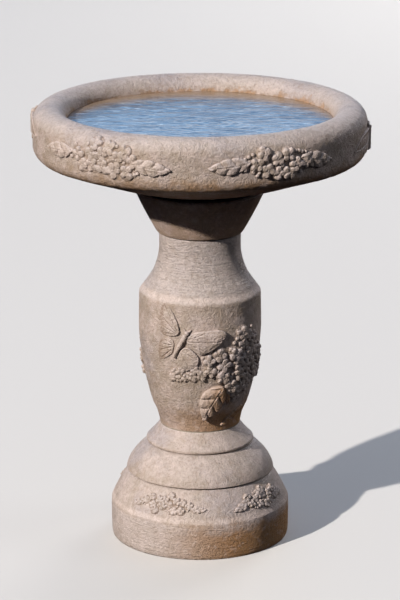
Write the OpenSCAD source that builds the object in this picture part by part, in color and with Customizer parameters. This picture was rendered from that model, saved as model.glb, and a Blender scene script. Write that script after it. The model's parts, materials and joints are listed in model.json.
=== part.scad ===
// Bird bath: a cast-stone dish on a pedestal of three castings, held together by a tie rod.
// Millimetres, +Z up, origin on the ground at the centre of the plinth.
// Angles around the axis are measured from the front (-Y), positive towards +X.

/* [Bowl] */
// Outer diameter of the bowl at its plain band
bowl_d = 518; // [510:2:530]
// Height of the bowl from its underside to the crown of the rim
bowl_h = 132; // [128:1:140]
// Radius of the flat foot under the bowl
bowl_foot_r = 100; // [94:1:104]
// Thickness of the dish over the foot
dish_t = 31; // [29:1:36]

/* [Pedestal] */
// Diameter of the plinth at its plain band
plinth_d = 283; // [276:1:290]
// Height of the plinth
plinth_h = 184; // [180:1:190]
// Height of the column
column_h = 310.5; // [306:0.5:316]
// Largest radius of the column
belly_r = 96.6; // [94:0.1:99]
// Radius of the column at its waist and at its neck
waist_r = 63.6; // [62:0.1:65]
// Height of the capital
capital_h = 67.5; // [64:0.5:72]
// Radius of the top of the capital
capital_r = 101.5; // [99:0.5:104]
// Radius of the hollow core of the column
core_r = 32; // [28:1:33]

/* [Fittings] */
// Radius of the tie rod
rod_r = 6; // [5:0.5:7]
// Radial play of the bowl's socket on the rod's end
socket_play = 0.06; // [0.03:0.01:0.09]
// Thickness of each bedding ring
bedding_t = 1.5; // [1:0.5:2]
// Thickness of the seat pad
pad_t = 2; // [1.5:0.5:3]

/* [Ornament] */
// How far the leaves stand out of the wall
leaf_t = 4; // [3:0.5:5]
// Radius of a blossom on the bowl and the column
blossom_r = 6; // [5:0.1:6]
// Radius of a blossom on the plinth
small_blossom_r = 5; // [4:0.1:5]

/* [Hidden] */
$fn = 48;
// Facets of a casting's outer surface, for a drawn mesh
skin_fn = 256;
// How far a cutting shape passes the face it cuts through
cut = 1;

bowl_r = bowl_d / 2;
column_z = plinth_h + bedding_t;
capital_z = column_z + column_h + bedding_t;
pad_z = capital_z + capital_h;
bowl_z = pad_z + pad_t;

// Bowl: the radii of its rounded edges and the centres they turn about
hem_r = 22;
crown_r = 26;
crown_flat = 0.5;
hem_c = [bowl_r - hem_r, 71];
crown_out_c = [bowl_r - crown_r, bowl_h - crown_r];
crown_in_c = crown_out_c - [crown_flat, 0];
basin_r = crown_in_c[0] - crown_r;
basin_fillet = 24;
hem_arm = hem_c - [bowl_foot_r, 0];
dish_slope = atan2(hem_arm[1], hem_arm[0]) - asin(hem_r / norm(hem_arm));

// Plinth: the heights of its edges and grooves, and the radii of the wall there
band_r = plinth_d / 2;
band_top_z = 62;
lower_groove_z = 107;
upper_groove_z = 153.5;
lower_groove_r = band_r - 26;
upper_groove_r = band_r - 57.5;
groove_deep = 3.5;
groove_wide = 2.5;
// How far the plain band stands back at its edges, and along its middle
band_edge = 2;
band_back = 0.5;
// The bead over the upper groove, and the angles its round starts and ends at
bead_r = 4;
bead_from = -50;
bead_to = 35;
// How far each stretch of the plinth's wall bows out
band_bow = 0.5;
apron_bow = 1.2;
dome_bow = 6;
collar_bow = -1.5;

// Column: the places where its curve changes, as heights over its foot
flare_h = 35;
swell_h = 165;
shoulder_h = 222;
neck_h = 286;
flare_r = waist_r + 11.4;
// How far each stretch of the column's wall bows out
flare_bow = -2;
swell_bow = 4.5;
neck_bow = -3.3;
// The column's shoulder: its round, the angle that turns, and where the neck leaves it
shoulder_round = 9;
shoulder_turn = 52;
neck_foot = [waist_r + 18, shoulder_h + 11];

// Capital: the recess in its top for the upper nut
recess_r = 32;
recess_d = 30;
register_h = 10;
register_play = 0.5;

// Tie rod, nuts and washers
rod_hole_r = rod_r + 0.6;
rod_tail = 18;
deck_t = 34;
washer_t = 4;
upper_washer_r = 24;
lower_washer_r = 28;
nut_h = 10;
nut_r = 1.8 * rod_r;
thread_play = 0.03;
socket_r = rod_r + 3;
socket_h = 19;
rod_reach = 15;

// Ornament: how deep a blossom is sunk into the wall
blossom_sink = 0.3;
// Where each motif sits around the axis, in degrees, and up it
rim_garland_z = bowl_z + 95.5;
rim_long_at = -35.5;
rim_short_at = 25.5;
rim_butterfly_at = 85;
rim_butterfly_right_z = bowl_z + 84;
rim_butterfly_left_z = bowl_z + 98;
plinth_garland_z = 84;
plinth_long_at = -24;
plinth_short_at = 49.5;
// Lengths and heights of the garlands' blossom patches
rim_long = 124;
rim_short = 98;
rim_tall = 44;
plinth_long = 80;
plinth_short = 68;
plinth_tall = 29;

stone = "tan";
steel = "silver";
rubber = "dimgray";
mortar = "darkkhaki";

// ---- Curves ----

// Points of an arc about c, from angle a to angle b
function arc(c, r, a, b, n = 8) =
    [for (i = [0:n]) let (t = a + (b - a) * i / n) c + r * [cos(t), sin(t)]];

// How far a curve that bows by sag from its chord has moved at t, from 0 to 1
function bow(sag, t) = 4 * sag * t * (1 - t);

// Radius at t on a stretch of wall between radius a and radius b that bows out by sag
function bowed(a, b, sag, t) = a + (b - a) * t + bow(sag, t);

// Points of such a stretch from [radius, height] p to q, without p
function stretch(p, q, sag = 0, n = 6) =
    [for (i = [1:n]) let (t = i / n) [bowed(p[0], q[0], sag, t), p[1] + (q[1] - p[1]) * t]];

// ---- Wall radii at a height, where ornament sits ----

function column_wall(z) =
    let (h = z - column_z)
    h < flare_h ? bowed(waist_r, flare_r, flare_bow, h / flare_h)
    : h < swell_h ? bowed(flare_r, belly_r, swell_bow, (h - flare_h) / (swell_h - flare_h))
    : belly_r;

function plinth_wall(z) =
    let (t = (z - band_top_z) / (lower_groove_z - band_top_z))
    bowed(band_r - band_edge, lower_groove_r, apron_bow, t);

function rim_wall(z) =
    let (over = max(0, z - bowl_z - crown_out_c[1]))
    crown_out_c[0] + sqrt(crown_r * crown_r - over * over);

// ---- How far the wall leans back from upright at a height, in degrees ----

function column_lean(z) = -atan((column_wall(z + 1) - column_wall(z - 1)) / 2);
function rim_lean(z) = asin(max(0, z - bowl_z - crown_out_c[1]) / crown_r);
plinth_lean = atan2(band_r - band_edge - lower_groove_r, lower_groove_z - band_top_z);

// ---- Castings ----

module bowl_skin() {
    translate([0, 0, bowl_z])
        rotate_extrude($fn = skin_fn)
            polygon(concat(
                [[0, 0], [bowl_foot_r, 0]],
                arc(hem_c, hem_r, dish_slope - 90, 0),
                arc(crown_out_c, crown_r, 0, 90),
                [[0, bowl_h]]
            ));
}

module basin() {
    fillet_x = basin_r - basin_fillet;
    fillet_z = dish_t + (fillet_x - bowl_foot_r) * tan(dish_slope)
        + basin_fillet / cos(dish_slope);
    translate([0, 0, bowl_z])
        rotate_extrude()
            polygon(concat(
                [[0, dish_t], [bowl_foot_r, dish_t]],
                arc([fillet_x, fillet_z], basin_fillet, dish_slope - 90, 0, 6),
                arc(crown_in_c, crown_r, 180, 90),
                [[crown_in_c[0], bowl_h + cut], [0, bowl_h + cut]]
            ));
}

module bowl() {
    color(stone)
        difference() {
            bowl_skin();
            basin();
            translate([0, 0, bowl_z - cut])
                cylinder(r = socket_r, h = socket_h + cut);
        }
}

module capital() {
    foot = [waist_r + 4.7, 1.5];
    color(stone)
        translate([0, 0, capital_z])
            difference() {
                union() {
                    rotate_extrude()
                        polygon(concat(
                            [[0, 0], [foot[0] - 1.5, 0], foot],
                            stretch(foot, [capital_r, capital_h - 1.5], 1.2),
                            [[capital_r - 1, capital_h], [0, capital_h]]
                        ));
                    translate([0, 0, -register_h])
                        cylinder(r = core_r - register_play, h = register_h + cut);
                }
                translate([0, 0, capital_h - recess_d])
                    cylinder(r = recess_r, h = recess_d + cut);
                translate([0, 0, -register_h - cut])
                    cylinder(r = rod_hole_r, h = capital_h + register_h);
            }
}

module column_skin() {
    shoulder_c = [belly_r - 1 - shoulder_round, shoulder_h - shoulder_round];
    translate([0, 0, column_z])
        rotate_extrude($fn = skin_fn)
            polygon([
                [0, 0],
                [waist_r, 0],
                each stretch([waist_r, 0], [flare_r, flare_h], flare_bow),
                each stretch([flare_r, flare_h], [belly_r, swell_h], swell_bow, 8),
                each arc(shoulder_c, shoulder_round, 0, shoulder_turn, 6),
                each stretch(neck_foot, [waist_r, neck_h], neck_bow),
                [waist_r + 0.5, column_h],
                [0, column_h]
            ]);
}

module column() {
    color(stone)
        difference() {
            column_skin();
            translate([0, 0, column_z - cut])
                cylinder(r = core_r, h = column_h + 2 * cut);
        }
}

module plinth_skin() {
    foot = [band_r - band_back, 4];
    band_top = [band_r - band_edge, band_top_z];
    dome_foot = [lower_groove_r + 1.5, lower_groove_z + groove_wide];
    dome_top = [upper_groove_r + 0.5, upper_groove_z - groove_wide / 2];
    bead_c = [upper_groove_r - bead_r + 1, upper_groove_z + bead_r];
    bead_top = bead_c + bead_r * [cos(bead_to), sin(bead_to)];
    rotate_extrude($fn = skin_fn)
        polygon([
            [0, 0],
            [band_r - band_edge, 0],
            foot,
            each stretch(foot, [foot[0], band_top_z - 3], band_bow, 4),
            band_top,
            each stretch(band_top, [lower_groove_r, lower_groove_z - 1], apron_bow),
            [lower_groove_r - groove_deep, lower_groove_z],
            dome_foot,
            each stretch(dome_foot, dome_top, dome_bow, 8),
            [upper_groove_r - groove_deep, upper_groove_z],
            each arc(bead_c, bead_r, bead_from, bead_to, 6),
            each stretch(bead_top, [waist_r, plinth_h], collar_bow, 8),
            [0, plinth_h]
        ]);
}

module plinth() {
    color(stone)
        difference() {
            union() {
                plinth_skin();
                translate([0, 0, plinth_h - cut])
                    cylinder(r = core_r - register_play, h = register_h + cut);
            }
            translate([0, 0, -cut])
                cylinder(r = core_r, h = plinth_h - deck_t + cut);
            translate([0, 0, plinth_h - deck_t - cut])
                cylinder(r = rod_hole_r, h = deck_t + register_h + 2 * cut);
        }
}

// ---- Fittings ----

module ring(r_in, r_out, h) {
    difference() {
        cylinder(r = r_out, h = h);
        translate([0, 0, -cut])
            cylinder(r = r_in, h = h + 2 * cut);
    }
}

module bowl_socket() {
    color(steel)
        translate([0, 0, bowl_z])
            ring(rod_r + socket_play, socket_r, socket_h);
}

module seat_pad() {
    color(rubber)
        translate([0, 0, pad_z])
            ring(recess_r + 6, bowl_foot_r - 5, pad_t);
}

module tie_rod() {
    foot_z = plinth_h - deck_t - rod_tail;
    chamfer = 1.5;
    length = bowl_z + rod_reach - foot_z;
    color(steel)
        translate([0, 0, foot_z])
            rotate_extrude()
                polygon([
                    [0, 0], [rod_r - chamfer, 0], [rod_r, chamfer],
                    [rod_r, length - chamfer], [rod_r - chamfer, length], [0, length]
                ]);
}

module nut() {
    difference() {
        cylinder(r = nut_r, h = nut_h, $fn = 6);
        translate([0, 0, -cut])
            cylinder(r = rod_r + thread_play, h = nut_h + 2 * cut);
    }
}

module upper_washer() {
    color(steel)
        translate([0, 0, pad_z - recess_d])
            ring(rod_hole_r, upper_washer_r, washer_t);
}

module upper_nut() {
    color(steel)
        translate([0, 0, pad_z - recess_d + washer_t])
            nut();
}

module lower_washer() {
    color(steel)
        translate([0, 0, plinth_h - deck_t - washer_t])
            ring(rod_hole_r, lower_washer_r, washer_t);
}

module lower_nut() {
    color(steel)
        translate([0, 0, plinth_h - deck_t - washer_t - nut_h])
            nut();
}

module bedding_ring(z, inset) {
    color(mortar)
        translate([0, 0, z])
            ring(core_r + 1, waist_r - inset, bedding_t);
}

module upper_bedding_ring() {
    bedding_ring(column_z + column_h, 2);
}

module lower_bedding_ring() {
    bedding_ring(plinth_h, 0.5);
}

// ---- Ornament ----

// Puts its children on the wall, with x along it, y up it and z out of it
module on_wall(at, r, z, lean = 0) {
    rotate([0, 0, at])
        translate([0, -r, z])
            rotate([90 - lean, 0, 0])
                children();
}

// A leaf or wing blank: two arcs that meet in points at both ends of its length
module blade(length, width, t, sink = 5) {
    r = (length * length + width * width) / (4 * width);
    translate([0, 0, -sink])
        linear_extrude(height = t + sink)
            intersection() {
                translate([0, r - width / 2]) circle(r);
                translate([0, width / 2 - r]) circle(r);
            }
}

// A blossom, a little dome whose flat back is sunk into the wall
module blossom(at, r, z, lean, size) {
    on_wall(at, r - blossom_sink, z, lean)
        difference() {
            translate([0, 0, -0.3 * size])
                sphere(size);
            translate([0, 0, -2 * size])
                cylinder(r = 2 * size, h = 2 * size);
        }
}

// Degrees that a length along the wall spans at radius r
function span(length, r) = length / r * 180 / PI;

// Pitch of the close-packed lattice that blossoms of one size stand on
function pitch(size) = 2.15 * size;
row_step = 0.87;

// Blossoms that fill an oval patch, long by tall, around a point of the wall
module rim_patch(at, long, tall, size) {
    p = pitch(size);
    rows = floor(tall / 2 / p / row_step);
    cols = floor(long / 2 / p);
    for (row = [-rows:rows], col = [-cols:cols]) {
        x = (col + (row % 2 == 0 ? 0 : 0.5)) * p;
        y = row * p * row_step;
        z = rim_garland_z + y;
        if (norm([2 * x / long, 2 * y / tall]) <= 1)
            blossom(at + span(x, bowl_r), rim_wall(z), z, rim_lean(z), size);
    }
}

// A garland on the bowl's band: a leaf, a patch of blossoms and a leaf
module rim_garland(at, long) {
    leaf_l = 52;
    leaf_w = 22;
    reach = span(long / 2 + leaf_l / 2 - 3, bowl_r);
    color(stone) {
        rim_patch(at, long, rim_tall, blossom_r);
        difference() {
            for (side = [-1, 1])
                on_wall(at + side * reach, bowl_r, rim_garland_z)
                    blade(leaf_l, leaf_w, leaf_t);
            bowl_skin();
        }
    }
}

// A butterfly on the bowl's band with its body upright and its wings hanging a little
module rim_butterfly(at, z) {
    wing_l = 78;
    wing_w = 24;
    body_h = 36;
    reach = span(wing_l / 2 + 14, bowl_r);
    color(stone)
        difference() {
            union() {
                for (side = [-1, 1]) {
                    on_wall(at + side * reach, bowl_r, z - 1)
                        rotate(-side * 8)
                            blade(wing_l, wing_w, leaf_t);
                    on_wall(at + side * reach * 0.5, bowl_r, z - 15)
                        rotate(-side * 12)
                            blade(wing_l * 0.6, wing_w * 0.6, leaf_t - 1);
                }
                on_wall(at, bowl_r, z - body_h / 2 - 6)
                    rotate([-90, 0, 0])
                        cylinder(r = 3.5, h = body_h);
            }
            bowl_skin();
        }
}

// A blade on the column's wall, turned anticlockwise from level by spin
module column_blade(at, z, spin, length, width, t) {
    on_wall(at, column_wall(z), z, column_lean(z))
        rotate(spin)
            blade(length, width, t);
}

// The butterfly of the column, seen from above with its head up to the right
module column_butterfly(turn) {
    color(stone)
        difference() {
            rotate([0, 0, turn]) {
                column_blade(-31, 370, 112, 66, 26, leaf_t);
                column_blade(-34, 328, 62, 48, 22, leaf_t);
                column_blade(7, 346, 16, 62, 34, leaf_t);
                column_blade(-10, 316, -72, 44, 27, leaf_t);
                column_blade(-17, 339, 63, 48, 9, leaf_t + 2);
            }
            column_skin();
        }
}

// The column's blossom cluster hangs between these two heights at an angle
function eased(t) = let (s = min(1, max(0, t))) s * s * (3 - 2 * s);
function cluster_top(at) = 298 + 66 * eased((at + 8) / 56) - 60 * eased((at - 58) / 30);
function cluster_foot(at) = 282 - 24 * eased((at - 5) / 35) + 14 * eased((at - 55) / 35);

// Blossoms on the column between the cluster's two edges
module column_blossoms(turn) {
    rows = 6;
    cols = 7;
    middle_at = 30;
    middle_z = 311.3;
    step_z = pitch(blossom_r) * row_step;
    step_at = span(pitch(blossom_r), column_wall(middle_z - rows * step_z));
    color(stone)
        for (row = [-rows:rows], col = [-cols:cols]) {
            z = middle_z + row * step_z;
            at = middle_at + (col + (row % 2 == 0 ? 0 : 0.5)) * step_at;
            if (at > -32 && at < 92 && z <= cluster_top(at) && z >= cluster_foot(at)
                && !under_butterfly(at, z))
                blossom(at + turn, column_wall(z), z, column_lean(z), blossom_r);
        }
}

// Is this place covered by the butterfly's right wings?
function under_butterfly(at, z) = at < 4 && z > 292 || at < 24 && z > 330;

// The hanging leaf of the column and the two leaflets beside it
module column_leaves(turn) {
    color(stone)
        difference() {
            rotate([0, 0, turn]) {
                column_blade(12, 241, 64, 60, 40, leaf_t + 3);
                column_blade(32, 245, 100, 24, 10, leaf_t);
                column_blade(36, 210, 35, 28, 12, leaf_t);
            }
            column_skin();
        }
}

// Blossoms that fill an oval patch of the plinth's lower dome
module plinth_patch(at, long, tall, size) {
    p = pitch(size);
    rows = floor(tall / 2 / p / row_step);
    cols = floor(long / 2 / p);
    for (row = [-rows:rows], col = [-cols:cols]) {
        x = (col + (row % 2 == 0 ? 0 : 0.5)) * p;
        y = row * p * row_step * cos(plinth_lean);
        z = plinth_garland_z + y;
        if (norm([2 * x / long, 2 * y / tall]) <= 1)
            blossom(at + span(x, plinth_wall(z)), plinth_wall(z), z, plinth_lean, size);
    }
}

// A garland on the plinth's lower dome
module plinth_garland(at, long) {
    leaf_l = 25;
    leaf_w = 13;
    wall_r = plinth_wall(plinth_garland_z);
    reach = span(long / 2 + leaf_l / 2 - 1, wall_r);
    color(stone) {
        plinth_patch(at, long, plinth_tall, small_blossom_r);
        difference() {
            for (side = [-1, 1])
                on_wall(at + side * reach, wall_r, plinth_garland_z, plinth_lean)
                    blade(leaf_l, leaf_w, leaf_t - 1);
            plinth_skin();
        }
    }
}

bowl();
bowl_socket();
seat_pad();
capital();
column();
plinth();
tie_rod();
upper_nut();
upper_washer();
lower_nut();
lower_washer();
upper_bedding_ring();
lower_bedding_ring();
rim_garland(rim_long_at, rim_long);  // rim_garland_front_left
rim_garland(rim_short_at, rim_short);  // rim_garland_front_right
rim_garland(rim_short_at + 180, rim_short);  // rim_garland_back_left
rim_garland(rim_long_at + 180, rim_long);  // rim_garland_back_right
rim_butterfly(rim_butterfly_at + 180, rim_butterfly_left_z);  // rim_butterfly_left
rim_butterfly(rim_butterfly_at, rim_butterfly_right_z);  // rim_butterfly_right
column_butterfly(0);  // column_butterfly_front
column_butterfly(180);  // column_butterfly_back
column_blossoms(0);  // column_blossoms_front
column_blossoms(180);  // column_blossoms_back
column_leaves(0);  // column_leaves_front
column_leaves(180);  // column_leaves_back
plinth_garland(plinth_long_at, plinth_long);  // plinth_garland_front_left
plinth_garland(plinth_short_at, plinth_short);  // plinth_garland_front_right
plinth_garland(plinth_short_at + 180, plinth_short);  // plinth_garland_back_left
plinth_garland(plinth_long_at + 180, plinth_long);  // plinth_garland_back_right
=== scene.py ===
"""Looks of a cast-stone bird bath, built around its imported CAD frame.

The four castings are turned again from the outlines of their CAD nodes, with a finer and slightly
uneven surface. Each relief motif is drawn as a height field on a flat sheet, in millimetres, and
then wrapped onto the wall of its casting. The water is a rippled solid that rides on the basin.
"""

import json
import math
import random

import bmesh
import bpy
import numpy as np
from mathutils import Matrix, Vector, noise

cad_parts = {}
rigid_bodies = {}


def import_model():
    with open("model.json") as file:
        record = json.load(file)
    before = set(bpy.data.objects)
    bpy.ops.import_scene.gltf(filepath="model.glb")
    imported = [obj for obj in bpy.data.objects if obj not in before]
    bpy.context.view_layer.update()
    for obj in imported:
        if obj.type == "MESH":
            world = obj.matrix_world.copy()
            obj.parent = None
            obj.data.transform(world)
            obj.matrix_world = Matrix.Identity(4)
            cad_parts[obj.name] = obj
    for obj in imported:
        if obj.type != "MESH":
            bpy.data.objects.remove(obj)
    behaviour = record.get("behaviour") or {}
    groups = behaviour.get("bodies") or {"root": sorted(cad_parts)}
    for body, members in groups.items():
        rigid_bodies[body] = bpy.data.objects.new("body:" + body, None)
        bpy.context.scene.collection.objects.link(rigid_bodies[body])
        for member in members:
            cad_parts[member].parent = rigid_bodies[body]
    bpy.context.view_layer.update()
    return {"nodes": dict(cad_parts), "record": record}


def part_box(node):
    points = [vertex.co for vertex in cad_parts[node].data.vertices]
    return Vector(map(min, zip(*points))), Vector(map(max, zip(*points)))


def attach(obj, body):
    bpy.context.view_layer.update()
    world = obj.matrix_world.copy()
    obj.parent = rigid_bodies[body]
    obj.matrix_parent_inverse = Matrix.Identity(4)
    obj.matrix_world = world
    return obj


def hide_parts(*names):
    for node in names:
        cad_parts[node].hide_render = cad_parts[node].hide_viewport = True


MM = 0.001
for leftover in list(bpy.data.objects):
    bpy.data.objects.remove(leftover)
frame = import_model()

# Heights and radii in metres. Inside CORE_R a casting is hidden and stays plain, and so does the
# bowl inside BOWL_SEAT_R, where it rests on the pad. DISH_R lies under the crown of the rim.
BOWL_LOW, BOWL_HIGH = [corner[2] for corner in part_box("bowl")]
BOWL_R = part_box("bowl")[1][0]
BOWL_SEAT_R = 0.105
DISH_R = 0.22
WATER_Z = BOWL_HIGH - 0.0245
COLUMN_LOW, COLUMN_HIGH = [corner[2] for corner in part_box("column")]
NECK_R = 0.08
CAPITAL_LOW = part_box("upper_bedding_ring")[1][2]
PLINTH_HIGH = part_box("lower_bedding_ring")[0][2]
CORE_R = 0.05


# ---------------------------------------------------------------- outlines


def outline(node):
    """The outline of a turned CAD node as (points, closed), read off the mesh along its seam."""
    mesh = frame["nodes"][node].data
    links = {}
    for edge in mesh.edges:
        ends = [mesh.vertices[i].co for i in edge.vertices]
        if all(abs(p.y) < 1e-5 and p.x > -1e-5 for p in ends):
            a, b = [(round(p.x, 5), round(p.z, 5)) for p in ends]
            if a != b:
                links.setdefault(a, set()).add(b)
                links.setdefault(b, set()).add(a)
    loose = [p for p in links if len(links[p]) == 1]
    path = [min(loose or links, key=lambda p: (p[1], p[0]))]
    while True:
        onward = [p for p in links[path[-1]] if p not in path[-2:]]
        if not onward or onward[0] == path[0] or min(onward) == path[0]:
            return np.array(path), not loose
        path.append(min(onward))


def turning(points, closed):
    """The angle turned at each point of a path, in radians; 0 at the ends of an open one."""
    ahead = np.roll(points, -1, 0) - points
    behind = points - np.roll(points, 1, 0)
    cross = ahead[:, 1] * behind[:, 0] - ahead[:, 0] * behind[:, 1]
    dot = (ahead * behind).sum(1)
    turn = np.abs(np.arctan2(cross, dot))
    if not closed:
        turn[[0, -1]] = 0
    return turn


def softened(points, closed, rounds=3, sharp=math.radians(24)):
    """Cuts the blunt corners of a path into a smooth curve and leaves its sharp ones."""
    keep = turning(points, closed) > math.radians(0.25)
    if not closed:
        keep[[0, -1]] = True
    points = points[keep]
    for _ in range(rounds):
        turn = turning(points, closed)
        count = len(points)
        cut = []
        for i in range(count):
            here = points[i]
            end = not closed and i in (0, count - 1)
            if end or turn[i] > sharp:
                cut.append(here)
            else:
                cut.append(here * 0.75 + points[i - 1] * 0.25)
                cut.append(here * 0.75 + points[(i + 1) % count] * 0.25)
        points = np.array(cut)
    return points


def dense(points, closed, step=0.3 * MM):
    """Evenly spaced points along a path, with a rounding of about a millimetre at its corners."""
    loop = np.vstack([points, points[:1]]) if closed else points
    run = np.concatenate([[0], np.cumsum(np.hypot(*np.diff(loop, axis=0).T))])
    at = np.linspace(0, run[-1], int(run[-1] / step), endpoint=not closed)
    even = np.column_stack([np.interp(at, run, loop[:, k]) for k in (0, 1)])
    for _ in range(10):
        soft = (np.roll(even, 1, 0) + 2 * even + np.roll(even, -1, 0)) / 4
        if not closed:
            soft[[0, -1]] = even[[0, -1]]
        even = soft
    return even


def thinned(points, closed, step_at, bend=math.radians(14)):
    """Rows for a turned mesh: closer together where the path bends or step_at asks for it."""
    turn = turning(points, closed)
    rows = [points[0]]
    spent = 0.0
    for i in range(1, len(points)):
        spent += math.dist(points[i], points[i - 1]) / step_at(points[i]) + turn[i] / bend
        if spent >= 1 or i == len(points) - 1 and not closed:
            rows.append(points[i])
            spent = 0.0
    return np.array(rows)


# ---------------------------------------------------------------- meshes


def mesh_object(name, verts, faces):
    mesh = bpy.data.meshes.new(name)
    mesh.from_pydata(verts.tolist(), [], faces)
    mesh.validate()
    work = bmesh.new()
    work.from_mesh(mesh)
    bmesh.ops.recalc_face_normals(work, faces=work.faces)
    work.to_mesh(mesh)
    work.free()
    mesh.polygons.foreach_set("use_smooth", [True] * len(mesh.polygons))
    piece = bpy.data.objects.new(name, mesh)
    bpy.context.collection.objects.link(piece)
    return piece


def turned(name, rows, closed, columns):
    """A solid of revolution about Z from rows of (radius, height)."""
    angles = np.arange(columns) * 2 * math.pi / columns
    sines, cosines = np.sin(angles), -np.cos(angles)
    verts = []
    rings = []
    total = 0
    for radius, height in rows:
        if radius < 0.1 * MM:
            verts.append(np.array([[0, 0, height]]))
            rings.append(np.full(columns, total))
            total += 1
        else:
            verts.append(np.column_stack([radius * sines, radius * cosines, np.full(columns, height)]))
            rings.append(np.arange(total, total + columns))
            total += columns
    faces = []
    pairs = list(zip(rings, rings[1:] + rings[:1] if closed else rings[1:]))
    for low, high in pairs:
        for quad in zip(low, np.roll(low, -1), np.roll(high, -1), high):
            corners = list(dict.fromkeys(int(i) for i in quad))
            if len(corners) > 2:
                faces.append(corners)
    return mesh_object(name, np.vstack(verts), faces)


def roughen(piece, depth_at):
    """Moves each vertex out along its normal by depth_at(place), in millimetres."""
    mesh = piece.data
    count = len(mesh.vertices)
    places = np.empty(count * 3)
    mesh.vertices.foreach_get("co", places)
    normals = np.empty(count * 3, dtype=np.float32)
    mesh.vertex_normals.foreach_get("vector", normals)
    places = places.reshape(-1, 3)
    normals = normals.reshape(-1, 3)
    depths = np.array([depth_at(Vector(p)) for p in places])
    mesh.vertices.foreach_set("co", (places + normals * depths[:, None] * MM).ravel())
    mesh.update()


def smoothstep(low, high, value):
    t = min(1.0, max(0.0, (value - low) / (high - low)))
    return t * t * (3 - 2 * t)


def grain(place, size, seed=0):
    """Noise from -1 to 1 with lumps of about size, in millimetres."""
    return noise.noise(place / (size * MM) + Vector((seed * 7.3, seed * 3.1, seed * 5.7)))


# ---------------------------------------------------------------- walls


class Wall:
    """The outer wall of a casting: radius, height and outward normal by length along it."""

    def __init__(self, points, foot, head):
        heights = np.linspace(foot, head, int((head - foot) / (0.4 * MM)))
        radii = np.zeros_like(heights)
        for a, b in zip(points, np.roll(points, -1, 0)):
            low, high = sorted((a[1], b[1]))
            level = high - low < 1e-7
            closing = math.dist(a, b) > 20 * MM
            if level or closing:
                continue
            hit = (heights >= low) & (heights <= high)
            t = (heights[hit] - a[1]) / (b[1] - a[1])
            radii[hit] = np.maximum(radii[hit], a[0] + (b[0] - a[0]) * t)
        self.height = heights
        self.radius = radii
        slope = np.gradient(radii, heights)
        size = np.hypot(1, slope)
        self.normal = (1 / size, -slope / size)
        self.run = np.concatenate([[0], np.cumsum(np.hypot(np.diff(radii), np.diff(heights)))])

    def wrap(self, x, y, h, centre_deg, centre_z, reach):
        """Places on the wall of sheet points x along, y up and h out, in millimetres. The sheet's
        origin is at centre_deg and centre_z, and at the radius reach its x keeps its length."""
        run = np.interp(centre_z, self.height, self.run) + y * MM
        out, up = [h * MM * np.interp(run, self.run, part) for part in self.normal]
        radius = np.interp(run, self.run, self.radius) + out
        height = np.interp(run, self.run, self.height) + up
        angle = math.radians(centre_deg) + x * MM / reach
        return np.column_stack([radius * np.sin(angle), -radius * np.cos(angle), height])


# ---------------------------------------------------------------- relief sheets

SKIRT = -2.0


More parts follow.
